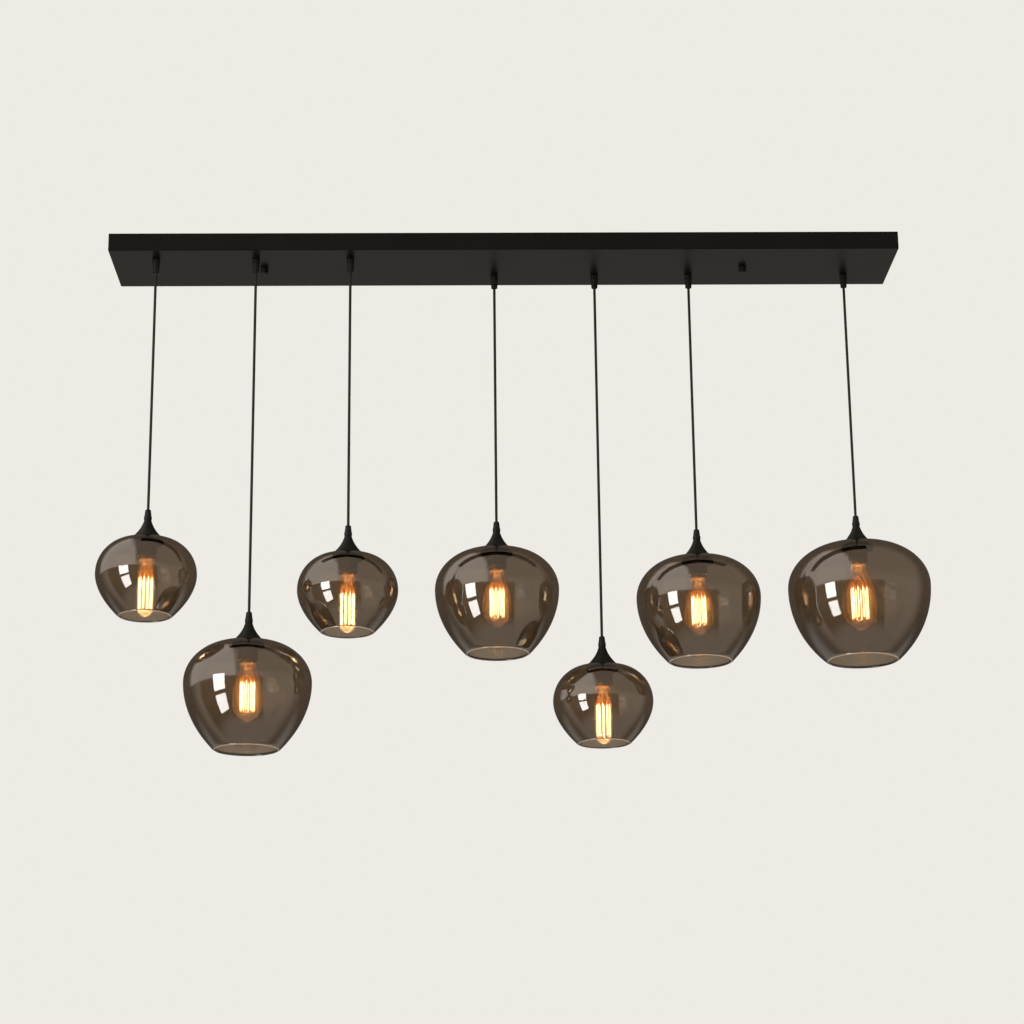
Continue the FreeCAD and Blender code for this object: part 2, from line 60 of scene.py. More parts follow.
def make_fine_grain():
    """Small uneven colour, gloss and height that paint, plating and mouldings share."""
    group = bpy.data.node_groups.new("fine_grain", "ShaderNodeTree")
    for name, kind in (("Color", "Color"), ("Worn Color", "Color"), ("Roughness", "Float"),
                       ("Roughness Spread", "Float"), ("Grain Scale", "Float"),
                       ("Cloud Scale", "Float")):
        group.interface.new_socket(name, in_out="INPUT", socket_type="NodeSocket" + kind)
    for name, kind in (("Color", "Color"), ("Roughness", "Float"), ("Height", "Float")):
        group.interface.new_socket(name, in_out="OUTPUT", socket_type="NodeSocket" + kind)
    link = group.links.new
    given = group.nodes.new("NodeGroupInput")
    result = group.nodes.new("NodeGroupOutput")
    place = add_node(group, "TexCoord")
    grain = add_node(group, "TexNoise", {"Detail": 3.0, "Roughness": 0.6})
    cloud = add_node(group, "TexNoise", {"Detail": 4.0, "Roughness": 0.55})
    link(place.outputs["Object"], grain.inputs["Vector"])
    link(place.outputs["Object"], cloud.inputs["Vector"])
    link(given.outputs["Grain Scale"], grain.inputs["Scale"])
    link(given.outputs["Cloud Scale"], cloud.inputs["Scale"])
    share = add_node(group, "MapRange", {"From Min": 0.35, "From Max": 0.7})
    link(cloud.outputs["Fac"], share.inputs["Value"])
    tint = add_node(group, "Mix", data_type="RGBA")
    link(share.outputs["Result"], tint.inputs["Factor"])
    link(given.outputs["Color"], tint.inputs["A"])
    link(given.outputs["Worn Color"], tint.inputs["B"])
    stray = add_node(group, "Math", {1: 0.5}, operation="SUBTRACT")
    link(cloud.outputs["Fac"], stray.inputs[0])
    gloss = add_node(group, "Math", operation="MULTIPLY_ADD")
    link(stray.outputs["Value"], gloss.inputs[0])
    link(given.outputs["Roughness Spread"], gloss.inputs[1])
    link(given.outputs["Roughness"], gloss.inputs[2])
    link(tint.outputs["Result"], result.inputs["Color"])
    link(gloss.outputs["Value"], result.inputs["Roughness"])
    link(grain.outputs["Fac"], result.inputs["Height"])
    return group


fine_grain = make_fine_grain()


def grained_finish(name, color, worn, roughness, spread, grain, clouds, bump, metallic=0.0, shine=0.5):
    """A solid finish whose colour, gloss and surface come from the fine grain."""
    material, tree, shader = new_finish(name)
    values = {"Color": (*color, 1), "Worn Color": (*worn, 1), "Roughness": roughness,
              "Roughness Spread": spread, "Grain Scale": grain, "Cloud Scale": clouds}
    uneven = add_node(tree, "Group", node_tree=fine_grain)
    for key, value in values.items():
        uneven.inputs[key].default_value = value
    height = add_node(tree, "Bump", {"Strength": bump, "Distance": 0.0003})
    tree.links.new(uneven.outputs["Color"], shader.inputs["Base Color"])
    tree.links.new(uneven.outputs["Roughness"], shader.inputs["Roughness"])
    tree.links.new(uneven.outputs["Height"], height.inputs["Height"])
    tree.links.new(height.outputs["Normal"], shader.inputs["Normal"])
    shader.inputs["Metallic"].default_value = metallic
    shader.inputs["Specular IOR Level"].default_value = shine
    return material


def dress(node_name, material):
    """Gives a CAD node its finish."""
    slots = nodes[node_name].data.materials
    slots.clear()
    slots.append(material)


zinc_plate = grained_finish("zinc_plate", color=(0.55, 0.56, 0.56), worn=(0.70, 0.70, 0.67), roughness=0.34,
                            spread=0.30, grain=900.0, clouds=55.0, bump=0.08, metallic=1.0)
for name in ("ceiling_bracket", "fixing_studs", "grip_locknuts"):
    dress(name, zinc_plate)


# Canopy tray: one steel sheet folded up on four sides and powder coated satin black.
# It hangs on the bracket's studs, open to the ceiling.
satin_black = grained_finish("satin_black_powder", color=(0.0034, 0.0034, 0.0028),
                             worn=(0.0052, 0.0052, 0.0044), roughness=0.34, spread=0.10,
                             grain=1400.0, clouds=9.0, bump=0.06, shine=0.18)
dress("canopy_tray", satin_black)


# Thumb nuts: two small turned nuts with a domed end, powder coated like the tray.
# They screw on the studs from below and clamp the tray to the bracket.
nut_black = grained_finish("nut_black_powder", color=(0.006, 0.006, 0.005), worn=(0.012, 0.012, 0.010),
                           roughness=0.42, spread=0.12, grain=1800.0, clouds=160.0, bump=0.08, shine=0.25)
dress("fixing_nuts", nut_black)


# Cord grips under the canopy: moulded black nylon, with a threaded shank through the sheet.
# A fine eroded mould surface keeps them matt.
nylon_black = grained_finish("nylon_black", color=(0.009, 0.009, 0.008), worn=(0.014, 0.014, 0.013),
                             roughness=0.52, spread=0.14, grain=2600.0, clouds=240.0, bump=0.10, shine=0.25)
dress("canopy_grips", nylon_black)


# Wiring inside the canopy: a white moulded terminal block with brass screws, black nylon combs,
# and a brass earth post. The cord tails lie in the combs between the grips and the block.
block_white = grained_finish("block_white", color=(0.78, 0.77, 0.72), worn=(0.72, 0.70, 0.64),
                             roughness=0.45, spread=0.10, grain=1600.0, clouds=60.0, bump=0.05)
comb_black = grained_finish("comb_nylon", color=(0.05, 0.05, 0.05), worn=(0.07, 0.07, 0.068),
                            roughness=0.50, spread=0.12, grain=2000.0, clouds=120.0, bump=0.08)
terminal_brass = grained_finish("terminal_brass", color=(0.72, 0.50, 0.22), worn=(0.60, 0.40, 0.17),
                                roughness=0.28, spread=0.25, grain=1500.0, clouds=300.0, bump=0.06,
                                metallic=1.0)
dress("terminal_block", block_white)
dress("cable_combs", comb_black)
dress("terminal_screws", terminal_brass)
dress("earth_post", terminal_brass)


# Hanging cords: round cord of 4.4 mm in a black woven sleeve, held in a grip at the canopy and one on
# each cap. The weight of the globe keeps each one taut. A pendant is listed as its number, its place
# along and across the canopy, the drop to the foot of its cap, and the size of its globe.
cord_diameter = 0.0044
grip_mouth = -0.0478
cap_grip_mouth = 0.0448
straight_run = 0.026
sleeve_threads = 8.0
sleeve_climb = 4200.0
pendants = (
    (1, -0.576, -0.038, 0.510, "small"),
    (2, -0.411, -0.038, 0.680, "medium"),
    (3, -0.255, -0.038, 0.538, "small"),
    (4, -0.016, 0.038, 0.511, "medium"),
    (5, 0.153, 0.038, 0.705, "small"),
    (6, 0.312, 0.038, 0.526, "medium"),
    (7, 0.575, 0.038, 0.504, "large"),
)


def make_woven_sleeve():
    """Two sets of slanting threads that cross round the cord's own axis."""
    material, tree, shader = new_finish("woven_sleeve_black")
    link = tree.links.new
    place = add_node(tree, "TexCoord")
    parts = add_node(tree, "SeparateXYZ")
    link(place.outputs["Object"], parts.inputs["Vector"])
    turn = add_node(tree, "Math", operation="ARCTAN2")
    link(parts.outputs["Y"], turn.inputs[0])
    link(parts.outputs["X"], turn.inputs[1])
    threads = add_node(tree, "Math", {1: sleeve_threads}, operation="MULTIPLY")
    link(turn.outputs["Value"], threads.inputs[0])
    climb = add_node(tree, "Math", {1: sleeve_climb}, operation="MULTIPLY")
    link(parts.outputs["Z"], climb.inputs[0])
    waves = []
    for slant in ("ADD", "SUBTRACT"):
        phase = add_node(tree, "Math", operation=slant)
        wave = add_node(tree, "Math", operation="SINE")
        link(threads.outputs["Value"], phase.inputs[0])
        link(climb.outputs["Value"], phase.inputs[1])
        link(phase.outputs["Value"], wave.inputs[0])
        waves.append(wave)
    weave = add_node(tree, "Math", operation="MULTIPLY")
    link(waves[0].outputs["Value"], weave.inputs[0])
    link(waves[1].outputs["Value"], weave.inputs[1])
    shade = add_node(tree, "MapRange", {"From Min": -1.0, "From Max": 1.0})
    link(weave.outputs["Value"], shade.inputs["Value"])
    tint = add_node(tree, "Mix", {"A": (0.006, 0.006, 0.006, 1), "B": (0.022, 0.021, 0.019, 1)},
                    data_type="RGBA")
    link(shade.outputs["Result"], tint.inputs["Factor"])
    link(tint.outputs["Result"], shader.inputs["Base Color"])
    height = add_node(tree, "Bump", {"Strength": 0.35, "Distance": 0.0002})
    link(weave.outputs["Value"], height.inputs["Height"])
    link(height.outputs["Normal"], shader.inputs["Normal"])
    shader.inputs["Roughness"].default_value = 0.75
    return material


woven_sleeve = make_woven_sleeve()
dress("cord_tails", woven_sleeve)


def place_piece(name, data, x, y, z, body, slot, *replaced):
    """Puts a piece on its pendant's axis and lets it move with its body."""
    piece = bpy.data.objects.new(name, data)
    piece.location = (x, y, z)
    bpy.context.scene.collection.objects.link(piece)
    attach(piece, body)
    if replaced:
        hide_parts(*replaced)
    return piece


def ball_end(height, inwards):
    """Points and shares of the full width that round off one end of a cord."""
    steps = [math.radians(angle) for angle in (0, 30, 60, 90)]
    return [(height + inwards * cord_diameter / 2 * (1 - math.cos(step)), math.sin(step)) for step in steps]


for number, x, y, drop, size in pendants:
    foot = cap_grip_mouth - drop
    route = ball_end(grip_mouth, -1)
    route += [(grip_mouth - straight_run, 1.0), (foot + straight_run, 1.0)]
    route += reversed(ball_end(foot, 1))
    line = bpy.data.curves.new(f"cord_line_{number}", "CURVE")
    line.dimensions = "3D"
    line.bevel_depth = cord_diameter / 2
    line.bevel_resolution = 5
    line.use_fill_caps = True
    spline = line.splines.new("NURBS")
    spline.points.add(len(route) - 1)
    for point, (height, width) in zip(spline.points, route):
        point.co = (0, 0, height, 1)
        point.radius = width
    spline.order_u = 3
    spline.use_endpoint_u = True
    line.materials.append(woven_sleeve)
    hanging = place_piece(f"hanging_cord_{number}", line, x, y, 0, f"hanging_cord_{number}", "cord_black",
                          f"cord_{number}")


# Grips on the caps: the same black nylon as at the canopy, shorter, with a collar and a tapered nose.
# Each screws on the end of the lampholder's nipple and clamps the cap under it.
on_axis = 1e-6
grip_outline = [(0.0025, 0.0325), (0.0063, 0.0325), (0.0063, 0.0375), (0.0055, 0.0385), (0.0056, 0.0392),
                (0.0045, 0.0486), (0.0039, 0.0490), (0.0027, 0.0490), (0.0025, 0.0470)]
grip_rounding = 0.0004
quarter_round = math.sqrt(0.5)


def turned_mesh(name, outline, steps, material, sharp=35):
    """Turns a closed outline of radius and height round the upright axis, with its faces turned out."""
    shape = bmesh.new()
    rings = []
    following = outline[1:] + outline[:1]
    clockwise = sum(a[0] * b[1] - b[0] * a[1] for a, b in zip(outline, following)) < 0
    for radius, height in outline:
        if radius < on_axis:
            rings.append([shape.verts.new((0, 0, height))])
            continue
        angles = [2 * math.pi * i / steps for i in range(steps)]
        rings.append([shape.verts.new((radius * math.cos(a), radius * math.sin(a), height)) for a in angles])
    for upper, lower in zip(rings, rings[1:] + rings[:1]):
        for i in range(steps):
            j = (i + 1) % steps
            places = ((upper, i), (upper, j), (lower, j), (lower, i))
            corners = list(dict.fromkeys(ring[place % len(ring)] for ring, place in places))
            if len(corners) > 2:
                shape.faces.new(corners[::-1] if clockwise else corners)
    mesh = bpy.data.meshes.new(name)
    shape.to_mesh(mesh)
    shape.free()
    mesh.shade_smooth()
    mesh.set_sharp_from_angle(angle=math.radians(sharp))
    mesh.materials.append(material)
    return mesh


def conic_points(start, corner, end, weight, count):
    """Points of a conic arc from start to end that bends towards corner, the more the higher its weight.

    With the weight quarter_round it is a quarter of an ellipse.
    """
    points = []
    for i in range(count + 1):
        t = i / count
        shares = ((1 - t) ** 2, 2 * t * (1 - t) * weight, t * t)
        total = sum(shares)
        for_axis = zip(start, corner, end)
        points.append(tuple(sum(s * p for s, p in zip(shares, places)) / total for places in for_axis))
    return points


def eased(points, radius):
    """A closed outline with each corner rounded off."""
    outline = []
    for before, corner, after in zip(points[-1:] + points[:-1], points, points[1:] + points[:1]):
        if corner[0] < on_axis:
            outline.append(corner)
            continue
        ends = []
        for other in (before, after):
            away = math.dist(corner, other)
            reach = min(radius, away / 3) / away
            ends.append(tuple(c + (o - c) * reach for c, o in zip(corner, other)))
        outline += conic_points(ends[0], corner, ends[1], weight=0.7, count=3)
    return outline


grip_mesh = turned_mesh("cap_grip", eased(grip_outline, grip_rounding), steps=48, material=nylon_black)
for number, x, y, drop, size in pendants:
    place_piece(f"cord_grip_{number}", grip_mesh, x, y, -drop, f"pendant_{number}", "grip_black",
                f"cap_grip_{number}")


# Caps: steel spun to a trumpet with a rolled foot, powder coated matt black.
# Each stands on the crown of its globe and hides the nipple.
cap_black = grained_finish("cap_black_powder", color=(0.0058, 0.0060, 0.0050),
                           worn=(0.0090, 0.0092, 0.0078), roughness=0.46, spread=0.12,
                           grain=2200.0, clouds=70.0, bump=0.14, shine=0.25)
cap_outline = [(0.0245, 0.0), (0.0252, 0.0), (0.0255, 0.0004), (0.0255, 0.0010)]
cap_outline += conic_points((0.0253, 0.0016), (0.0100, 0.0150), (0.0057, 0.0319), weight=1, count=40)
cap_outline += [(0.0056, 0.0323), (0.0053, 0.0325), (0.0041, 0.0325), (0.0041, 0.0310)]
cap_outline += conic_points((0.0047, 0.0310), (0.0090, 0.0145), (0.0245, 0.0002), weight=1, count=40)
cap_mesh = turned_mesh("cap", cap_outline, steps=96, material=cap_black)
for number, x, y, drop, size in pendants:
    place_piece(f"trumpet_cap_{number}", cap_mesh, x, y, -drop, f"pendant_{number}", "cap_black",
                f"cap_{number}")


# Globes: blown smoked glass of 2.5 mm, wide at the belly and drawn in to an open, fire-polished mouth.
# The flat seat round the neck hole is clamped between the cap and a ring on the lampholder. A size is
# listed as radius, depth of the belly, height, radius of the mouth, and fullness below the belly.
glass_wall = 0.0025
neck_hole = 0.0200
neck_seat = 0.0240
neck_rounding = 0.0004
seat_gap = 0.0001
flank_weight = 0.93
lip_steps = 8
lip_flatness = 0.8
globe_sizes = {
    "small": (0.0805, 0.058, 0.127, 0.0420, 0.47),
    "medium": (0.1010, 0.066, 0.173, 0.0510, 0.54),
    "large": (0.1155, 0.072, 0.195, 0.0575, 0.60),
}


def make_smoked_glass():
    """Brown-grey glass with the slow ripple of blowing, painted shade that makes it darker towards the
    mouth, and painted light along the lip.
    """
    material, tree, shader = new_finish("smoked_glass")
    link = tree.links.new
    place = add_node(tree, "TexCoord")
    ripple = add_node(tree, "TexNoise", {"Scale": 9.0, "Detail": 1.0})
    link(place.outputs["Object"], ripple.inputs["Vector"])
    tint = add_node(tree, "Mix", {"A": (0.86, 0.83, 0.80, 1), "B": (0.92, 0.90, 0.88, 1)},
                    data_type="RGBA")
    link(ripple.outputs["Fac"], tint.inputs["Factor"])
    whole = add_node(tree, "SeparateXYZ")
    link(place.outputs["Generated"], whole.inputs["Vector"])
    # Painted shade: the tint is made darker towards the mouth.
    low = add_node(tree, "MapRange", {"From Min": 0.12, "From Max": 0.36, "To Min": 1.0, "To Max": 0.0})
    link(whole.outputs["Z"], low.inputs["Value"])
    painted_mouth_shade = add_node(tree, "Mix", {"B": (0.78, 0.755, 0.725, 1)}, data_type="RGBA",
                      blend_type="MULTIPLY")
    link(low.outputs["Result"], painted_mouth_shade.inputs["Factor"])
    link(tint.outputs["Result"], painted_mouth_shade.inputs["A"])
    # Painted light along the lip: the lip is made paler, and its outward face glows with an emission.
    lip = add_node(tree, "Math", {1: 0.006}, operation="LESS_THAN")
    link(whole.outputs["Z"], lip.inputs[0])
    clear = add_node(tree, "Mix", {"B": (1.0, 0.97, 0.93, 1)}, data_type="RGBA")
    link(lip.outputs["Value"], clear.inputs["Factor"])
    link(painted_mouth_shade.outputs["Result"], clear.inputs["A"])
    link(clear.outputs["Result"], shader.inputs["Base Color"])
    level = add_node(tree, "VectorMath", {1: (1, 1, 0)}, operation="MULTIPLY")
    link(place.outputs["Object"], level.inputs[0])
    facing = add_node(tree, "VectorMath", operation="DOT_PRODUCT")
    link(level.outputs["Vector"], facing.inputs[0])
    link(place.outputs["Normal"], facing.inputs[1])
    outward = add_node(tree, "Math", {1: 0.004}, operation="GREATER_THAN")
    link(facing.outputs["Value"], outward.inputs[0])
    painted_lip_glow_mask = add_node(tree, "Math", operation="MULTIPLY")
    link(lip.outputs["Value"], painted_lip_glow_mask.inputs[0])
    link(outward.outputs["Value"], painted_lip_glow_mask.inputs[1])
    painted_lip_glow = add_node(tree, "Mix", {"A": (0, 0, 0, 1), "B": (0.22, 0.16, 0.12, 1)},
                         data_type="RGBA")
    link(painted_lip_glow_mask.outputs["Value"], painted_lip_glow.inputs["Factor"])
    link(painted_lip_glow.outputs["Result"], shader.inputs["Emission Color"])
    shader.inputs["Emission Strength"].default_value = 1.0
    shader.inputs["Roughness"].default_value = 0.0
    height = add_node(tree, "Bump", {"Strength": 0.10, "Distance": 0.001})
    link(ripple.outputs["Fac"], height.inputs["Height"])
    link(height.outputs["Normal"], shader.inputs["Normal"])
    shader.inputs["Transmission Weight"].default_value = 1.0
    shader.inputs["IOR"].default_value = 2.1
    smoke = add_node(tree, "VolumeAbsorption", {"Color": (0.352, 0.237, 0.092, 1), "Density": 610.0})
    link(smoke.outputs["Volume"], tree.nodes["Material Output"].inputs["Volume"])
    return material


def globe_outline(radius, belly, height, mouth, fullness):
    """Outer and inner side of the wall, from the neck hole over the belly to the round lip and back."""
    seat = -seat_gap
    under = seat - glass_wall
    knee = -belly - fullness * (height - belly)
    lean = math.atan2(radius - mouth, knee + height)
    inner = radius - glass_wall
    inner_mouth = mouth - glass_wall / math.cos(lean)
    inner_knee = -height + (inner - inner_mouth) / math.tan(lean)
    outline = [(neck_hole, under + neck_rounding), (neck_hole, seat - neck_rounding),
               (neck_hole + neck_rounding, seat)]
    outline += conic_points((neck_seat, seat), (radius, seat), (radius, -belly),
                            weight=quarter_round, count=40)
    outline += conic_points((radius, -belly), (radius, knee), (mouth, -height),
                            weight=flank_weight, count=44)[1:-1]
    lip = (mouth - inner_mouth) / 2
    for i in range(lip_steps + 1):
        angle = math.pi * i / lip_steps
        rise = lip * (1 - math.sin(angle)) * lip_flatness
        outline.append((mouth - lip + lip * math.cos(angle), -height + rise))
    outline += conic_points((inner_mouth, -height), (inner, inner_knee), (inner, -belly),
                            weight=flank_weight, count=44)[1:-1]
    outline += conic_points((inner, -belly), (inner, under), (neck_seat, under),
                            weight=quarter_round, count=40)
    outline.append((neck_hole + neck_rounding, under))
    return outline


smoked_glass = make_smoked_glass()
globe_meshes = {size: turned_mesh(f"globe_{size}", globe_outline(*sizes), steps=160,
                                  material=smoked_glass)
                for size, sizes in globe_sizes.items()}
for number, x, y, drop, size in pendants:
    place_piece(f"smoked_globe_{number}", globe_meshes[size], x, y, -drop, f"pendant_{number}",
                "smoked_glass", f"shade_{number}")


# Lampholders: a moulded body with a screw skirt, a hollow steel nipple up through the cap, and a black
# shade ring that screws up the skirt until the glass is held. A brass tongue is the contact, and the
# cord's end comes down through the nipple.
def rows(start, end, count):
    """Evenly spaced points from start to just before end."""
    return [tuple(a + (b - a) * i / count for a, b in zip(start, end)) for i in range(count)]


def cut_thread(mesh, low, high, pitch, depth, least_radius):
    """Presses a round screw thread into the outer face between two heights."""
    for vertex in mesh.vertices:
        radius = math.hypot(vertex.co.x, vertex.co.y)
        if radius < least_radius or not low < vertex.co.z < high:
            continue
        turn = math.atan2(vertex.co.y, vertex.co.x) / (2 * math.pi)
        wave = 0.5 - 0.5 * math.cos(2 * math.pi * (vertex.co.z / pitch - turn))
        fade = min(1.0, (vertex.co.z - low) / pitch, (high - vertex.co.z) / pitch)
        scale = (radius - depth * wave * fade) / radius
        vertex.co.x *= scale
        vertex.co.y *= scale
    mesh.update()


# Painted light: the lampholder's dark moulding is coloured pale brown to stand in for the bulb's light on
# it.
holder_painted_lamplight = grained_finish("holder_painted_lamplight", color=(0.70, 0.50, 0.34), worn=(0.76, 0.55, 0.38),
                                 roughness=0.45, spread=0.15, grain=1500.0, clouds=90.0, bump=0.06)
ring_black = grained_finish("ring_black", color=(0.008, 0.007, 0.006), worn=(0.013, 0.012, 0.010),
                            roughness=0.45, spread=0.12, grain=1800.0, clouds=120.0, bump=0.08)
holder_outline = [(0.00405, 0.0), (0.00405, 0.0030), (0.0150, 0.0030), (0.0160, 0.0020)]
holder_outline += rows((0.0160, -0.0005), (0.0160, -0.0265), count=88)
holder_outline += [(0.0160, -0.0270), (0.0166, -0.0272), (0.0166, -0.0288), (0.0164, -0.0290),
                   (0.0136, -0.0290), (0.0134, -0.0288), (0.0134, 0.0)]
holder_mesh = turned_mesh("lampholder_body", holder_outline, steps=96, material=holder_painted_lamplight, sharp=60)
cut_thread(holder_mesh, low=-0.0262, high=-0.0070, pitch=0.0028, depth=0.0006, least_radius=0.0155)
ring_outline = [(0.01605, -0.0027), (0.0265, -0.0027), (0.0265, -0.0050), (0.0253, -0.0062),
                (0.01605, -0.0062)]
ring_mesh = turned_mesh("shade_ring", eased(ring_outline, radius=0.0005), steps=96, material=ring_black)
nipple_outline = [(0.0023, 0.0), (0.0040, 0.0), (0.0040, 0.0385), (0.0023, 0.0385)]
nipple_mesh = turned_mesh("nipple", eased(nipple_outline, radius=0.0003), steps=40, material=zinc_plate)
contact_outline = [(0.0, -0.0012), (0.0034, -0.0012), (0.0040, -0.0006), (0.0040, 0.0), (0.0, 0.0)]
contact_mesh = turned_mesh("contact_tongue", contact_outline, steps=32, material=terminal_brass)
lead_outline = [(0.0, 0.0001), (0.0022, 0.0001), (0.0022, 0.0447), (0.0, 0.0447)]
lead_mesh = turned_mesh("cord_end", lead_outline, steps=32, material=woven_sleeve)
for number, x, y, drop, size in pendants:
    body = f"pendant_{number}"
    place_piece(f"lampholder_body_{number}", holder_mesh, x, y, -drop, body, "holder_black",
                f"lampholder_{number}")
    place_piece(f"shade_ring_{number}", ring_mesh, x, y, -drop, body, "holder_black")
    place_piece(f"nipple_{number}", nipple_mesh, x, y, -drop, body, "zinc_steel")
    place_piece(f"contact_tongue_{number}", contact_mesh, x, y, -drop, body, "terminal_brass")
    place_piece(f"cord_end_{number}", lead_mesh, x, y, -drop, body, "cord_black")


# Screw caps of the bulbs: thin brass rolled to the round 27 mm thread, with a contact button on top.
# Each is cemented on the neck of its bulb and screws up into the lampholder.
bulb_brass = grained_finish("bulb_brass", color=(0.78, 0.50, 0.20), worn=(0.62, 0.38, 0.14), roughness=0.26,
                            spread=0.20, grain=1200.0, clouds=140.0, bump=0.05, metallic=1.0)
base_outline = [(0.0, -0.0015), (0.0040, -0.0015), (0.0045, -0.0020), (0.0045, -0.0027),
                (0.0112, -0.0063), (0.0124, -0.0069), (0.0130, -0.0077)]
base_outline += rows((0.0130, -0.0082), (0.0130, -0.0335), count=112)
base_outline += [(0.0130, -0.0341), (0.0128, -0.0345), (0.0125, -0.0345)]
base_outline += rows((0.0125, -0.0335), (0.0125, -0.0082), count=112)
base_outline += [(0.0125, -0.0077), (0.0, -0.0066)]
base_mesh = turned_mesh("screw_cap", base_outline, steps=96, material=bulb_brass, sharp=60)
cut_thread(base_mesh, low=-0.0285, high=-0.0080, pitch=0.0036, depth=0.0009, least_radius=0.0120)


# Bulbs: clear glass blown as a tube or a pear, with a press and a rod of glass inside that carry the wire.
# A fine amber bloom on the glass scatters the light of the wire. A size is listed as radius, distance
# from the top of the screw cap to the tip, and length of the straight stretch.
bulb_wall = 0.0008
bulb_top = -0.027
bulb_neck = 0.0124
neck_start = -0.0290
neck_end = -0.0365
press_radius = 0.0060
press_under = -0.0278
press_end = -0.0458
rod_radius = 0.0025
rod_end = -0.0618
bulb_sizes = {
    "small": (0.0150, 0.127, 0.071),
    "medium": (0.0260, 0.127, 0.003),
    "large": (0.0300, 0.143, 0.003),
}


def make_amber_glass():
    """Glass with an amber bloom in specks, thinner at its edge, and a painted glow with painted glints at
    the tip, the neck and faintly along the middle.
    """
    material, tree, shader = new_finish("bulb_amber_glass")
    link = tree.links.new
    place = add_node(tree, "TexCoord")
    cloud = add_node(tree, "TexNoise", {"Scale": 40.0, "Detail": 2.0})
    link(place.outputs["Object"], cloud.inputs["Vector"])
    tint = add_node(tree, "Mix", {"A": (1.0, 0.78, 0.52, 1), "B": (1.0, 0.83, 0.60, 1)},
                    data_type="RGBA")
    link(cloud.outputs["Fac"], tint.inputs["Factor"])
    speckle = add_node(tree, "TexNoise", {"Scale": 1300.0, "Detail": 1.0})
    link(place.outputs["Object"], speckle.inputs["Vector"])
    level = add_node(tree, "VectorMath", {1: (1, 1, 0)}, operation="MULTIPLY")
    link(place.outputs["Object"], level.inputs[0])
    width = add_node(tree, "VectorMath", operation="LENGTH")
    link(level.outputs["Vector"], width.inputs[0])
    spread = add_node(tree, "MapRange",
                      {"From Min": 0.0155, "From Max": 0.0200, "To Min": 0.575, "To Max": 0.562})
    link(width.outputs["Value"], spread.inputs["Value"])
    above = add_node(tree, "Math", operation="SUBTRACT")
    link(speckle.outputs["Fac"], above.inputs[0])
    link(spread.outputs["Result"], above.inputs[1])
    bloom = add_node(tree, "MapRange", {"From Min": 0.0, "From Max": 0.03})
    link(above.outputs["Value"], bloom.inputs["Value"])
    amber = add_node(tree, "Mix", {"B": (1.0, 0.34, 0.05, 1)}, data_type="RGBA")
    link(bloom.outputs["Result"], amber.inputs["Factor"])
    link(tint.outputs["Result"], amber.inputs["A"])
    dull = add_node(tree, "Math", {1: 0.65}, operation="MULTIPLY")
    link(bloom.outputs["Result"], dull.inputs[0])
    turned = add_node(tree, "LayerWeight", {"Blend": 0.5})
    thinning = add_node(tree, "MapRange",
                        {"From Min": 0.25, "From Max": 0.75, "To Min": 1.0, "To Max": 0.1})
    link(turned.outputs["Facing"], thinning.inputs["Value"])
    fading = add_node(tree, "Math", operation="MULTIPLY")
    link(dull.outputs["Value"], fading.inputs[0])
    link(thinning.outputs["Result"], fading.inputs[1])
    link(fading.outputs["Value"], shader.inputs["Roughness"])
    clearer = add_node(tree, "Mix", {"A": (1.0, 0.94, 0.86, 1)}, data_type="RGBA")
    link(thinning.outputs["Result"], clearer.inputs["Factor"])
    link(amber.outputs["Result"], clearer.inputs["B"])
    link(clearer.outputs["Result"], shader.inputs["Base Color"])
    shader.inputs["Transmission Weight"].default_value = 1.0
    shader.inputs["IOR"].default_value = 1.50
    # Painted light: an emission ramp lights the tip, the neck and faintly the middle, broken into painted
    # glints.
    whole = add_node(tree, "SeparateXYZ")
    link(place.outputs["Generated"], whole.inputs["Vector"])
    glow = add_node(tree, "ValToRGB")
    tip, neck = glow.color_ramp.elements
    tip.color = (0.50, 0.30, 0.09, 1)
    neck.position = 0.895
    neck.color = (0.20, 0.145, 0.07, 1)
    dark = (0.0, 0.0, 0.0)
    faint_painted_glow = (0.024, 0.005, 0.0)
    for position, color in ((0.010, (0.03, 0.016, 0.004)), (0.10, dark), (0.20, faint_painted_glow), (0.60, faint_painted_glow),
                            (0.80, dark), (0.865, dark)):
        glow.color_ramp.elements.new(position).color = (*color, 1)
    link(whole.outputs["Z"], glow.inputs["Fac"])
    glints = add_node(tree, "TexNoise", {"Scale": 220.0, "Detail": 1.0})
    link(place.outputs["Object"], glints.inputs["Vector"])
    painted_glint_share = add_node(tree, "MapRange",
                       {"From Min": 0.45, "From Max": 0.60, "To Min": 0.15, "To Max": 2.0})
    link(glints.outputs["Fac"], painted_glint_share.inputs["Value"])
    painted_glints_and_glow = add_node(tree, "VectorMath", operation="SCALE")
    link(glow.outputs["Color"], painted_glints_and_glow.inputs["Vector"])
    link(painted_glint_share.outputs["Result"], painted_glints_and_glow.inputs["Scale"])
    link(painted_glints_and_glow.outputs["Vector"], shader.inputs["Emission Color"])
    shader.inputs["Emission Strength"].default_value = 1.0
    return material


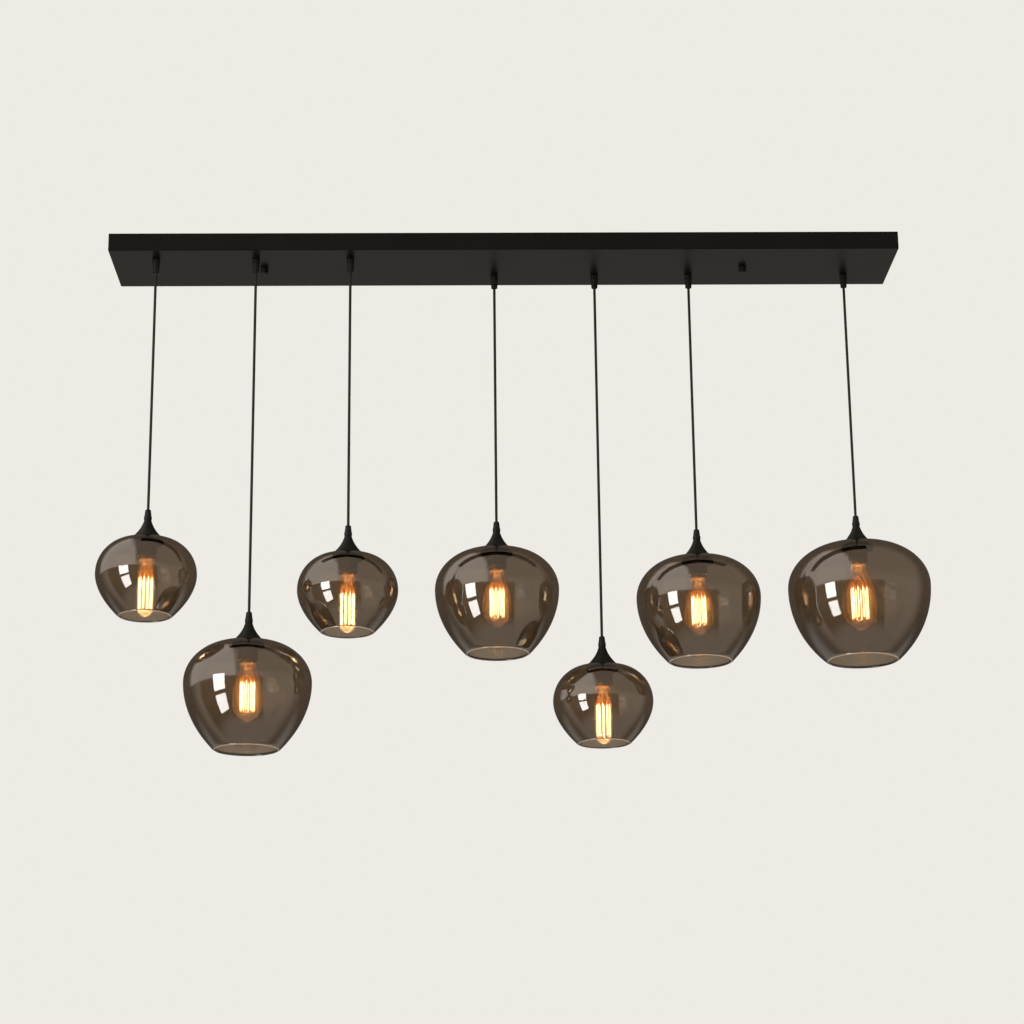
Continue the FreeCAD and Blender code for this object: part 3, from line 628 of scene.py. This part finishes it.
def make_stem_glass():
    """Glass of the mount, with a painted glow in bright specks along it."""
    material, tree, shader = new_finish("bulb_stem_glass")
    link = tree.links.new
    place = add_node(tree, "TexCoord")
    glints = add_node(tree, "TexNoise", {"Scale": 200.0, "Detail": 1.0})
    link(place.outputs["Object"], glints.inputs["Vector"])
    share = add_node(tree, "MapRange", {"From Min": 0.50, "From Max": 0.60})
    link(glints.outputs["Fac"], share.inputs["Value"])
    # Painted glow: the stem glass is given an amber emission with bright specks.
    glow = add_node(tree, "Mix", {"A": (0.06, 0.025, 0.006, 1), "B": (1.75, 1.22, 0.52, 1)},
                    data_type="RGBA")
    link(share.outputs["Result"], glow.inputs["Factor"])
    link(glow.outputs["Result"], shader.inputs["Emission Color"])
    shader.inputs["Emission Strength"].default_value = 1.0
    shader.inputs["Base Color"].default_value = (1.0, 0.90, 0.76, 1)
    shader.inputs["Transmission Weight"].default_value = 1.0
    shader.inputs["Roughness"].default_value = 0.08
    shader.inputs["IOR"].default_value = 1.50
    return material


def envelope_side(radius, reach, straight, inset):
    """Outline of the envelope from the neck to the tip, set in from the outer face."""
    neck = bulb_neck - inset
    side = radius - inset
    tip = -reach + inset
    dome = tip + side
    belly = dome + straight
    outline = [(neck, bulb_top - inset)] + rows((neck, neck_start - inset), (neck, neck_end), count=4)
    outline += conic_points((neck, neck_end), (side, (neck_end + belly) / 2), (side, belly),
                            weight=1, count=28)
    outline += conic_points((side, dome), (side, tip), (0.0, tip), weight=quarter_round, count=24)
    return outline


def envelope_outline(radius, reach, straight):
    """The envelope's outer and inner side, and the press and the rod that stand inside it."""
    outline = [(0.0, bulb_top)] + envelope_side(radius, reach, straight, 0.0)
    outline += reversed(envelope_side(radius, reach, straight, bulb_wall))
    neck = bulb_neck - bulb_wall
    outline += conic_points((neck, press_under), (press_radius, press_under), (press_radius, press_end),
                            weight=1, count=16)[1:]
    outline += [(rod_radius, press_end)]
    outline += conic_points((rod_radius, rod_end + rod_radius), (rod_radius, rod_end), (0.0, rod_end),
                            weight=quarter_round, count=10)
    return outline


amber_glass = make_amber_glass()
stem_glass = make_stem_glass()
envelope_meshes = {size: turned_mesh(f"envelope_{size}", envelope_outline(*sizes), steps=96,
                                     material=amber_glass, sharp=60)
                   for size, sizes in bulb_sizes.items()}
inside_neck = bulb_neck - 1.6 * bulb_wall
for mesh in envelope_meshes.values():
    mesh.materials.append(stem_glass)
    for face in mesh.polygons:
        from_axis = math.hypot(face.center.x, face.center.y)
        face.material_index = int(from_axis < inside_neck and rod_end < face.center.z < press_under)
for number, x, y, drop, size in pendants:
    body = f"bulb_{number}"
    place_piece(f"screw_cap_{number}", base_mesh, x, y, -drop, body, "bulb_brass", f"bulb_base_{number}")
    place_piece(f"bulb_envelope_{number}", envelope_meshes[size], x, y, -drop, body, "bulb_clear",
                f"bulb_glass_{number}")


# Filaments: one fine wire that runs up and down as a cage round the stem, on small hooks at both ends.
# The straight legs burn white and the bends, which the hooks cool, stay orange; the hooks and lead wires
# carry a painted orange glow. A cage is listed as radius, depth of its top and length. Each bulb is screwed
# in until its cage shows its legs to the front.
wire_radius = 0.0008
cage_legs = 10
quarter_step = 0.25
bend_steps = 8
support_radius = 0.0003
lead_place = 0.0045
lead_gap = 0.0004
hook_root = 0.0026
hook_height = -0.0540
hook_reach = 0.97
hook_dip = 0.0015
lower_hub = 0.012
rod_wire = 0.010
front_x = -0.073
front_y = -3.82
small_turn = math.radians(4)
cages = {
    "small": (0.0105, 0.054, 0.062),
    "medium": (0.0110, 0.056, 0.056),
    "large": (0.0130, 0.064, 0.062),
}


def make_glowing_wire():
    """Wire that glows white along its legs and dull orange at the bends."""
    material, tree, shader = new_finish("glowing_wire")
    link = tree.links.new
    place = add_node(tree, "TexCoord")
    parts = add_node(tree, "SeparateXYZ")
    link(place.outputs["Generated"], parts.inputs["Vector"])
    heat = add_node(tree, "ValToRGB")
    ramp = heat.color_ramp
    ramp.elements[0].color = (0.030, 0.011, 0.002, 1)
    ramp.elements[1].color = (0.012, 0.0036, 0.0005, 1)
    white = (0.92, 1.05, 0.96)
    for position, color in ((0.03, (0.06, 0.027, 0.006)), (0.07, white), (0.74, white),
                            (0.83, (0.05, 0.022, 0.005)), (0.91, (0.02, 0.007, 0.001))):
        ramp.elements.new(position).color = (*color, 1)
    link(parts.outputs["Z"], heat.inputs["Fac"])
    link(heat.outputs["Color"], shader.inputs["Emission Color"])
    shader.inputs["Base Color"].default_value = (0.12, 0.10, 0.09, 1)
    shader.inputs["Roughness"].default_value = 0.5
    shader.inputs["Emission Strength"].default_value = 140.0
    return material


def wire_mesh(name, paths, radius, material):
    """Round wire along one or more lines of points."""
    line = bpy.data.curves.new(name, "CURVE")
    line.dimensions = "3D"
    line.bevel_depth = radius
    line.bevel_resolution = 2
    line.use_fill_caps = True
    for path in paths:
        spline = line.splines.new("POLY")
        spline.points.add(len(path) - 1)
        for point, place in zip(spline.points, path):
            point.co = (*place, 1)
    holder = bpy.data.objects.new(name, line)
    mesh = bpy.data.meshes.new_from_object(holder)
    bpy.data.objects.remove(holder)
    mesh.shade_smooth()
    mesh.materials.clear()
    mesh.materials.append(material)
    heights = [vertex.co.z for vertex in mesh.vertices]
    mesh.texspace_location = (0, 0, (max(heights) + min(heights)) / 2)
    mesh.texspace_size = (radius, radius, (max(heights) - min(heights)) / 2)
    return mesh


def around(radius, leg, height):
    """A point at the angle of a leg of the cage, or between two legs."""
    angle = 2 * math.pi * (leg + quarter_step) / cage_legs
    return radius * math.cos(angle), radius * math.sin(angle), height


def cage_path(radius, start, length):
    """Legs up and down round the stem, with a round bend at each end."""
    bend = radius * math.sin(math.pi / cage_legs)
    path = []
    for leg in range(cage_legs):
        ends = [-start - wire_radius - bend, -start - length + wire_radius + bend]
        if leg % 2:
            ends.reverse()
        path += [around(radius, leg, height) for height in ends]
        if leg == cage_legs - 1:
            break
        down = -1 if leg % 2 == 0 else 1
        for step in range(1, bend_steps):
            turn = math.pi * step / bend_steps
            height = ends[1] + down * bend * math.sin(turn)
            path.append(around(radius, leg + (1 - math.cos(turn)) / 2, height))
    return path


def support_paths(radius, start, length):
    """Two lead wires from the press, and the hooks that reach out from the stem to every bend."""
    bend = radius * math.sin(math.pi / cage_legs)
    foot = -start - length
    paths = []
    for leg in (0, cage_legs - 1):
        paths.append([around(lead_place, leg, press_end - lead_gap),
                      around(radius, leg, -start - wire_radius - bend)])
    for hook in range(cage_legs // 2):
        upper = 2 * hook - 0.5
        lower = 2 * hook + 0.5
        if hook:
            paths.append([around(hook_root, upper, hook_height),
                          around(radius * hook_reach, upper, -start - hook_dip)])
        paths.append([(0.0, 0.0, foot + lower_hub), around(radius * hook_reach, lower, foot + hook_dip)])
    paths.append([(0.0, 0.0, rod_end), (0.0, 0.0, foot + rod_wire)])
    return paths


glowing_wire = make_glowing_wire()
support_wire = grained_finish("support_wire", color=(0.45, 0.36, 0.26), worn=(0.35, 0.27, 0.19),
                              roughness=0.35, spread=0.1, grain=1500.0, clouds=300.0, bump=0.04,
                              metallic=1.0)
# Painted glow: the support wires are given an orange emission, though they are not the lamp.
support_painted_glow_shader = support_wire.node_tree.nodes["Principled BSDF"]
support_painted_glow_shader.inputs["Emission Color"].default_value = (1.0, 0.46, 0.15, 1)
support_painted_glow_shader.inputs["Emission Strength"].default_value = 4.0
cage_meshes = {size: wire_mesh(f"cage_{size}", [cage_path(*sizes)], wire_radius, glowing_wire)
               for size, sizes in cages.items()}
support_meshes = {size: wire_mesh(f"supports_{size}", support_paths(*sizes), support_radius, support_wire)
                  for size, sizes in cages.items()}
for number, x, y, drop, size in pendants:
    turn = -math.atan2(x - front_x, y - front_y)
    if size == "small":
        turn += math.copysign(small_turn, x)
    for name, mesh in (("filament", cage_meshes[size]), ("filament_supports", support_meshes[size])):
        piece = place_piece(f"{name}_{number}", mesh, x, y, -drop, f"bulb_{number}", "bulb_brass")
        piece.rotation_euler.z = turn


# Room: a wide pale floor far below, a pale surround, a tall window of two panes on the left and a soft
# light above it. The camera sees floor and surround in about the backdrop's colour. Reflections see a
# room of several tones: a pale wall, darker parts, and a second window far to the right.
backdrop = (0.855, 0.826, 0.782)
floor_height = -3.4
floor_reach = 40.0
floor_blend = 0.7

floor_finish = grained_finish("pale_floor", color=(0.80, 0.775, 0.735), worn=(0.78, 0.755, 0.715),
                              roughness=0.8, spread=0.05, grain=300.0, clouds=2.0, bump=0.02)
floor_finish.cycles.emission_sampling = "NONE"
floor_tree = floor_finish.node_tree
floor_tone = add_node(floor_tree, "Emission", {"Color": (*backdrop, 1), "Strength": 1.0})
floor_seen = add_node(floor_tree, "LightPath")
floor_share = add_node(floor_tree, "Math", {1: floor_blend}, operation="MULTIPLY")
floor_tree.links.new(floor_seen.outputs["Is Camera Ray"], floor_share.inputs[0])
floor_look = add_node(floor_tree, "MixShader")
floor_tree.links.new(floor_share.outputs["Value"], floor_look.inputs["Fac"])
floor_tree.links.new(floor_tree.nodes["Principled BSDF"].outputs["BSDF"], floor_look.inputs[1])
floor_tree.links.new(floor_tone.outputs["Emission"], floor_look.inputs[2])
floor_tree.links.new(floor_look.outputs["Shader"], floor_tree.nodes["Material Output"].inputs["Surface"])
floor_mesh = bpy.data.meshes.new("pale_floor")
floor_corners = [(floor_reach * x, floor_reach * y, 0) for x, y in ((-1, -1), (1, -1), (1, 1), (-1, 1))]
floor_mesh.from_pydata(floor_corners, [], [(0, 1, 2, 3)])
floor_mesh.materials.append(floor_finish)
pale_floor = bpy.data.objects.new("pale_floor", floor_mesh)
pale_floor.location = (0, 0, floor_height)
bpy.context.scene.collection.objects.link(pale_floor)
pale_floor.visible_glossy = False
pale_floor.visible_transmission = False

world = bpy.data.worlds.new("surround")
bpy.context.scene.world = world
world.use_nodes = True
tree = world.node_tree
tree.nodes.clear()
seen = add_node(tree, "LightPath")
place = add_node(tree, "TexCoord")
parts = add_node(tree, "SeparateXYZ")
tree.links.new(place.outputs["Generated"], parts.inputs["Vector"])


def direction_step(axis, start, end):
    """One side of a line across the surround, with a soft edge."""
    step = add_node(tree, "MapRange", {"From Min": start, "From Max": end}, interpolation_type="SMOOTHSTEP")
    tree.links.new(parts.outputs[axis], step.inputs["Value"])
    return step.outputs["Result"]


def toned(below, color, *edges):
    """Lays a colour over what is below it, inside all of the edges."""
    share = edges[0]
    for edge in edges[1:]:
        both = add_node(tree, "Math", operation="MULTIPLY")
        tree.links.new(share, both.inputs[0])
        tree.links.new(edge, both.inputs[1])
        share = both.outputs["Value"]
    layer = add_node(tree, "Mix", {"B": (*color, 1)}, data_type="RGBA")
    tree.links.new(share, layer.inputs["Factor"])
    tree.links.new(below, layer.inputs["A"])
    return layer.outputs["Result"]


room_tone = (0.52, 0.435, 0.345)
far_pane = (0.71, 0.64, 0.55)
far_sides = (("X", 0.62, 0.64), ("X", 0.80, 0.78), ("Y", 0.0, -0.1))
room_zones = {
    "upper part": ((0.40, 0.335, 0.265), ("Z", 0.10, 0.30)),
    "behind the lamp": ((0.082, 0.074, 0.065), ("Y", 0.0, 0.5)),
    "floor behind": ((0.46, 0.445, 0.40), ("Z", -0.12, -0.42), ("Y", 0.3, 0.7)),
    "dark lower part": ((0.19, 0.125, 0.075), ("X", 0.56, 0.50), ("Y", 0.1, -0.1), ("Z", 0.07, 0.04),
                        ("Z", -0.85, -0.60)),
    "pale wall": ((1.13, 1.03, 0.92), ("Z", 0.060, 0.085), ("X", -0.22, -0.34), ("Y", 0.55, 0.30)),
    "far lower pane": (far_pane, *far_sides, ("Z", -0.28, -0.26), ("Z", -0.10, -0.12)),
    "far upper pane": (far_pane, *far_sides, ("Z", -0.02, 0.0), ("Z", 0.03, 0.01)),
}
room = add_node(tree, "RGB")
room.outputs["Color"].default_value = (*room_tone, 1)
tone = room.outputs["Color"]
for color, *edges in room_zones.values():
    tone = toned(tone, color, *(direction_step(*edge) for edge in edges))
reflected = add_node(tree, "Background")
tree.links.new(tone, reflected.inputs["Color"])
direct = add_node(tree, "Background", {"Color": (*backdrop, 1), "Strength": 1.0})
fill = add_node(tree, "Background", {"Color": (1.0, 0.97, 0.93, 1), "Strength": 0.55})
soft = add_node(tree, "MixShader")
tree.links.new(seen.outputs["Is Glossy Ray"], soft.inputs["Fac"])
tree.links.new(fill.outputs["Background"], soft.inputs[1])
tree.links.new(reflected.outputs["Background"], soft.inputs[2])
clearly = add_node(tree, "Math", operation="MAXIMUM")
tree.links.new(seen.outputs["Is Camera Ray"], clearly.inputs[0])
tree.links.new(seen.outputs["Is Transmission Ray"], clearly.inputs[1])
whole = add_node(tree, "MixShader")
tree.links.new(clearly.outputs["Value"], whole.inputs["Fac"])
tree.links.new(soft.outputs["Shader"], whole.inputs[1])
tree.links.new(direct.outputs["Background"], whole.inputs[2])
surface = add_node(tree, "OutputWorld")
tree.links.new(whole.outputs["Shader"], surface.inputs["Surface"])


def soft_light(name, width, height, distance, bearing, middle, brightness):
    """An upright light that faces the lamp from a bearing in degrees, with its middle at a height."""
    lamp = bpy.data.lights.new(name, "AREA")
    lamp.shape = "RECTANGLE"
    lamp.size = width
    lamp.size_y = height
    lamp.energy = brightness * math.pi * width * height
    lamp.color = (1.0, 0.98, 0.95)
    piece = bpy.data.objects.new(name, lamp)
    angle = math.radians(bearing)
    piece.location = (distance * math.sin(angle), -distance * math.cos(angle), middle)
    piece.rotation_euler = Euler((math.pi / 2, 0, angle), "XYZ")
    bpy.context.scene.collection.objects.link(piece)
    return piece


window = {"width": 1.13, "distance": 3.3, "bearing": -51}
soft_light("window_upper_pane", height=1.09, middle=-0.897, brightness=7.4, **window)
soft_light("window_lower_pane", height=1.36, middle=-2.42, brightness=6.4, **window)
softbox = soft_light("wall_softbox", width=4.2, height=2.6, distance=4.5, bearing=-50, middle=1.2,
                     brightness=2.0)
softbox.visible_glossy = False

photo_pixels = 1024
focal_pixels = 2451.6
sensor_width = 36.0
camera = bpy.data.objects.new("camera", bpy.data.cameras.new("camera"))
camera.data.sensor_width = sensor_width
camera.data.lens = sensor_width * focal_pixels / photo_pixels
camera.data.clip_end = 100.0
camera.location = (-0.0730, -3.8232, -1.5787)
yaw, pitch, roll = (math.radians(angle) for angle in (1.228, 16.360, -0.629))
aim = Euler((0, 0, -yaw)).to_matrix() @ Euler((math.pi / 2 + pitch, 0, 0)).to_matrix()
camera.rotation_euler = (aim @ Euler((0, 0, roll)).to_matrix()).to_euler()
bpy.context.scene.collection.objects.link(camera)
bpy.context.scene.camera = camera
bpy.context.scene.view_settings.view_transform = "Standard"

bpy.context.view_layer.update()
